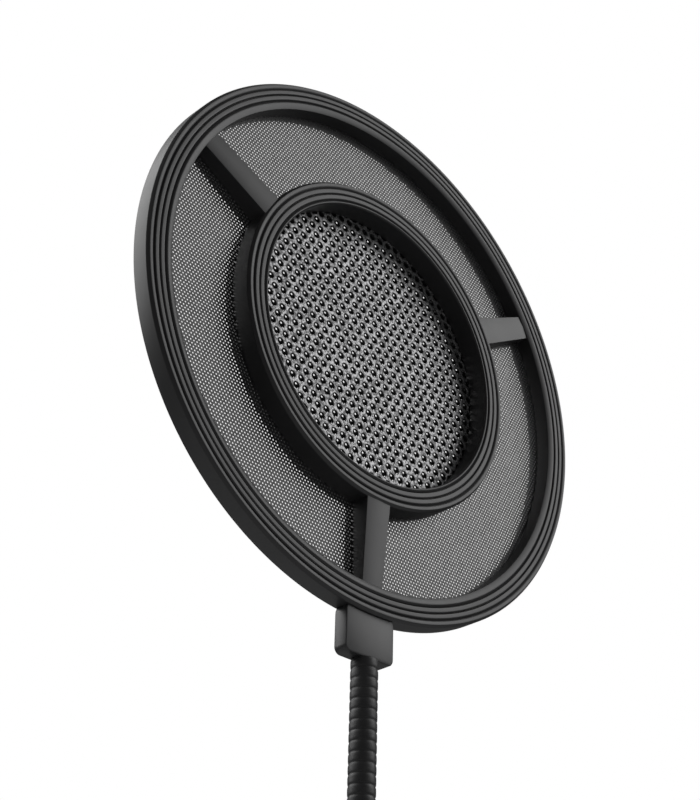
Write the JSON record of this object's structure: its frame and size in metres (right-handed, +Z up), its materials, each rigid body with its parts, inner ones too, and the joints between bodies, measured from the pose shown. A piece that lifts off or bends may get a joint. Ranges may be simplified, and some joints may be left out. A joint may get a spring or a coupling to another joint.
{
  "type": "pop filter",
  "caption": "Clamp-on microphone pop filter: ribbed round frame with spokes, fine and coarse metal screens, bending gooseneck, swivel foot and screw clamp.",
  "frame": {"origin": "middle of the fixed jaw's rubber face, on the clamp screw's axis", "axes": "+Z up along the straight gooseneck, +X across the clamp, and the screen's open front faces -Y"},
  "size_m": [0.16, 0.0455, 0.6299],
  "materials": {
    "frame_plastic": "satin moulded plastic, charcoal black",
    "fine_mesh": "black-coated fine perforated steel sheet",
    "coarse_mesh": "bright pressed steel grille",
    "neck_sheath": "satin black ribbed sleeve",
    "plated_steel": "zinc-plated steel",
    "black_metal": "die-cast, fine-textured black powder coat",
    "pad_rubber": "matt black rubber",
    "brass": "turned brass",
    "knob_plastic": "fine-grained black plastic"
  },
  "bodies": {
    "clamp": {"clamp_bracket": "black_metal", "jaw_pad": "pad_rubber", "screw_insert": "brass"},
    "foot": {"foot_pad": "pad_rubber", "foot_plate": "black_metal", "foot_retaining_ring": "plated_steel"},
    "screw": {"clamp_screw": "plated_steel", "clamp_knob": "knob_plastic", "knob_insert": "brass", "knob_cap": "knob_plastic"},
    "neck_foot": {"neck_ferrule": "black_metal", "ferrule_grub_screws": "plated_steel", "swivel_stud": "plated_steel", "swivel_top_washer": "knob_plastic", "swivel_low_washer": "plated_steel", "swivel_nut": "plated_steel", "neck_sheath_base": "neck_sheath", "neck_core_base": "plated_steel"},
    "link_01": {"neck_sheath_01": "neck_sheath", "neck_core_01": "plated_steel"},
    "link_02": {"neck_sheath_02": "neck_sheath", "neck_core_02": "plated_steel"},
    "link_03": {"neck_sheath_03": "neck_sheath", "neck_core_03": "plated_steel"},
    "link_04": {"neck_sheath_04": "neck_sheath", "neck_core_04": "plated_steel"},
    "link_05": {"neck_sheath_05": "neck_sheath", "neck_core_05": "plated_steel"},
    "link_06": {"neck_sheath_06": "neck_sheath", "neck_core_06": "plated_steel"},
    "link_07": {"neck_sheath_07": "neck_sheath", "neck_core_07": "plated_steel"},
    "link_08": {"neck_sheath_08": "neck_sheath", "neck_core_08": "plated_steel"},
    "link_09": {"neck_sheath_09": "neck_sheath", "neck_core_09": "plated_steel"},
    "head": {"neck_sheath_top": "neck_sheath", "neck_core_top": "plated_steel", "front_frame": "frame_plastic", "rear_frame": "frame_plastic", "outer_fine_screen": "fine_mesh", "outer_screen_hoop": "fine_mesh", "coarse_screen": "coarse_mesh", "coarse_screen_hoop": "coarse_mesh", "screen_spacer_ring": "pad_rubber", "inner_fine_screen": "fine_mesh", "rim_screws": "plated_steel", "spoke_screws": "plated_steel", "neck_end_fitting": "plated_steel", "stem_cross_pins": "plated_steel"}
  },
  "joints": [
    {"name": "neck_swivel", "type": "hinge", "parent": "clamp", "child": "neck_foot", "pos_m": [0, 0, 0.02], "axis": [0, 0, 1], "continuous": true},
    {"name": "neck_bend", "type": "hinge", "parent": "neck_foot", "child": "link_01", "pos_m": [0, 0, 0.072], "axis": [0.9994, 0.0349, 0], "range_deg": [-18, 18]},
    {"name": "neck_sway", "type": "hinge", "parent": "link_01", "child": "link_02", "pos_m": [0, 0, 0.099], "axis": [-0.0349, 0.9994, 0], "range_deg": [-18, 18]},
    {"name": "neck_bend_2", "type": "hinge", "parent": "link_02", "child": "link_03", "pos_m": [0, 0, 0.126], "axis": [0.9994, 0.0349, 0], "range_deg": [-18, 18]},
    {"name": "neck_sway_2", "type": "hinge", "parent": "link_03", "child": "link_04", "pos_m": [0, 0, 0.153], "axis": [-0.0349, 0.9994, 0], "range_deg": [-18, 18]},
    {"name": "neck_bend_3", "type": "hinge", "parent": "link_04", "child": "link_05", "pos_m": [0, 0, 0.18], "axis": [0.9994, 0.0349, 0], "range_deg": [-18, 18]},
    {"name": "neck_sway_3", "type": "hinge", "parent": "link_05", "child": "link_06", "pos_m": [0, 0, 0.207], "axis": [-0.0349, 0.9994, 0], "range_deg": [-18, 18]},
    {"name": "neck_bend_4", "type": "hinge", "parent": "link_06", "child": "link_07", "pos_m": [0, 0, 0.234], "axis": [0.9994, 0.0349, 0], "range_deg": [-18, 18]},
    {"name": "neck_sway_4", "type": "hinge", "parent": "link_07", "child": "link_08", "pos_m": [0, 0, 0.261], "axis": [-0.0349, 0.9994, 0], "range_deg": [-18, 18]},
    {"name": "neck_bend_5", "type": "hinge", "parent": "link_08", "child": "link_09", "pos_m": [0, 0, 0.288], "axis": [0.9994, 0.0349, 0], "range_deg": [-18, 18]},
    {"name": "neck_sway_5", "type": "hinge", "parent": "link_09", "child": "head", "pos_m": [0, 0, 0.315], "axis": [-0.0349, 0.9994, 0], "range_deg": [-18, 18]},
    {"name": "clamp_travel", "type": "slide", "parent": "clamp", "child": "foot", "axis": [0, 0, 1], "range_m": [-0.023, 0.023]},
    {"name": "clamp_turn", "type": "hinge", "parent": "foot", "child": "screw", "pos_m": [0, 0, -0.06], "axis": [0, 0, 1], "range_deg": [-4141, 4141]}
  ],
  "couplings": [
    {"joint": "neck_bend_2", "follows": "neck_bend", "ratio": 1},
    {"joint": "neck_sway_2", "follows": "neck_sway", "ratio": 1},
    {"joint": "neck_bend_3", "follows": "neck_bend", "ratio": 1},
    {"joint": "neck_sway_3", "follows": "neck_sway", "ratio": 1},
    {"joint": "neck_bend_4", "follows": "neck_bend", "ratio": 1},
    {"joint": "neck_sway_4", "follows": "neck_sway", "ratio": 1},
    {"joint": "neck_bend_5", "follows": "neck_bend", "ratio": 1},
    {"joint": "neck_sway_5", "follows": "neck_sway", "ratio": 1},
    {"joint": "clamp_turn", "follows": "clamp_travel", "rad_per_m": 3141.6}
  ]
}
